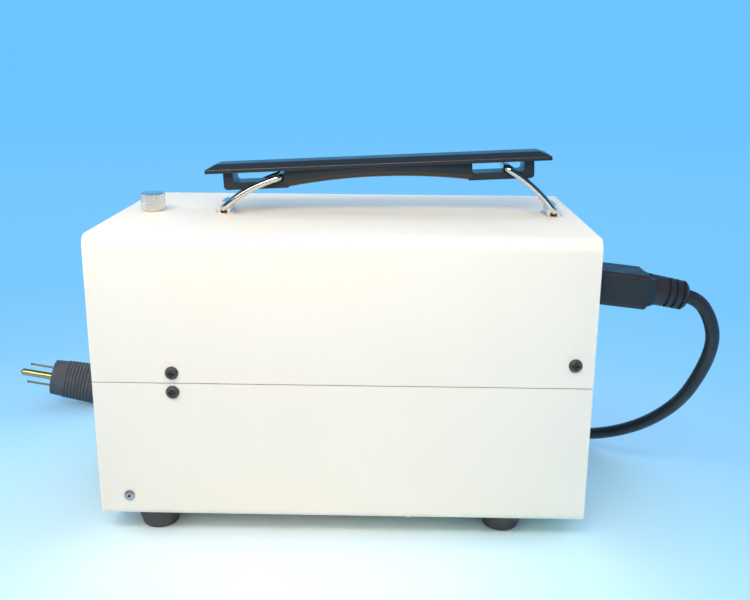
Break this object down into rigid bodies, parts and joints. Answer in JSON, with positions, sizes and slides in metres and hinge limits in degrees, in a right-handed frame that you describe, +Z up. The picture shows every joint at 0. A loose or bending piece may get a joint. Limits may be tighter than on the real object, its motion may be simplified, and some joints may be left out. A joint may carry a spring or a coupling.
{
  "type": "fiber optic illuminator",
  "caption": "Bench light source for fiber optic guides: a sheet metal box with a port, dimmer knob, rear fan, strap handle on wire rings, rubber feet and a mains lead.",
  "frame": {"origin": "bottom centre of the box round the object without its lead, on the surface it stands on", "axes": "+X to the rear panel, -Y to the long side seen in the picture, +Z up"},
  "size_m": [0.4365, 0.2621, 0.1976],
  "materials": {
    "paint_light": "off-white powder coat with an orange peel texture",
    "panel_paint": "satin dark paint",
    "steel": "zinc plated",
    "chrome": "bright plated",
    "black_screws": "black oxide",
    "rubber": "matt",
    "black_moulding": "glossy black",
    "black_plastic": "matt black",
    "cord_jacket": "satin black",
    "aluminium": "turned",
    "glass": "clear, slightly green",
    "quartz": "clear",
    "reflector_coat": "coated glass",
    "ceramic": "unglazed",
    "core_steel": "lacquered laminations",
    "winding_tape": "yellow tape",
    "bobbin": "natural",
    "board": "green board",
    "brass": "bright",
    "tie_fabric": "black hook and loop",
    "nickel": "nickel plated"
  },
  "bodies": {
    "case": {"upper_cover": "paint_light", "lower_chassis": "paint_light", "seam_rails": "steel", "front_panel": "panel_paint", "rear_panel": "panel_paint", "case_screws": "black_screws", "panel_rivets": "steel", "rubber_feet": "rubber", "foot_screws": "steel", "foot_nuts": "steel", "bracket_left": "chrome", "bracket_right": "chrome", "light_guide_port": "aluminium", "port_screws": "black_screws", "clamp_bush": "steel", "lamp_bulkhead": "steel", "heat_filter": "glass", "filter_ring": "aluminium", "lamp_reflector": "reflector_coat", "lamp_base": "ceramic", "lamp_bulb": "quartz", "lamp_socket": "ceramic", "lamp_holder": "steel", "transformer_tray": "steel", "tray_screws": "steel", "transformer_core": "core_steel", "transformer_bobbin": "bobbin", "transformer_winding": "winding_tape", "transformer_clamp": "steel", "control_board": "board", "board_standoffs": "brass", "heat_sink": "aluminium", "potentiometer": "steel", "switch_frame": "black_plastic", "fan_frame": "black_plastic", "fan_guard": "chrome", "fan_screws": "black_screws", "power_inlet": "black_plastic", "inlet_contacts": "nickel", "power_connector": "cord_jacket", "cord_lead": "cord_jacket", "cord_coil": "cord_jacket", "cord_tail": "cord_jacket", "cord_tie": "tie_fabric", "mains_plug": "cord_jacket", "plug_blades": "nickel", "plug_ground_pin": "brass"},
    "ring_right": {"ring_right": "chrome"},
    "ring_left": {"ring_left": "chrome"},
    "handle": {"handle_grip": "black_moulding"},
    "clamp_screw": {"thumb_screw": "nickel"},
    "knob": {"intensity_knob": "black_plastic", "pot_shaft": "steel"},
    "rocker": {"switch_rocker": "black_moulding"},
    "fan_blades": {"fan_rotor": "black_plastic"},
    "drawer": {"fuse_drawer": "black_plastic", "fuse": "quartz"}
  },
  "joints": [
    {"name": "handle_lift", "type": "hinge", "parent": "case", "child": "ring_right", "pos_m": [0.1192, 0, 0.1651], "axis": [0, 1, 0], "range_deg": [0, 20]},
    {"name": "front_ring_lift", "type": "hinge", "parent": "case", "child": "ring_left", "pos_m": [-0.063, 0, 0.1651], "axis": [0, -1, 0], "range_deg": [0, 31.8]},
    {"name": "handle_level", "type": "hinge", "parent": "ring_right", "child": "handle", "pos_m": [0.09179, 0, 0.18876], "axis": [0, 1, 0], "range_deg": [-17.3, 0]},
    {"name": "clamp_turn", "type": "hinge", "parent": "case", "child": "clamp_screw", "pos_m": [-0.1043, 0, 0.1651], "axis": [0, 0, -1], "continuous": true},
    {"name": "dimmer_turn", "type": "hinge", "parent": "case", "child": "knob", "pos_m": [-0.1268, 0.036, 0.0547], "axis": [1, 0, 0], "range_deg": [-150, 150]},
    {"name": "power_rock", "type": "hinge", "parent": "case", "child": "rocker", "pos_m": [-0.1178, -0.036, 0.0547], "axis": [0, 1, 0], "range_deg": [-18, 0]},
    {"name": "fan_spin", "type": "hinge", "parent": "case", "child": "fan_blades", "pos_m": [0.118, 0.018, 0.0707], "axis": [1, 0, 0], "continuous": true},
    {"name": "drawer_slide", "type": "slide", "parent": "case", "child": "drawer", "axis": [1, 0, 0], "range_m": [0, 0.016]}
  ],
  "couplings": [
    {"joint": "front_ring_lift", "follows": "handle_lift", "ratio": 1.585},
    {"joint": "handle_level", "follows": "handle_lift", "ratio": -0.8605}
  ]
}
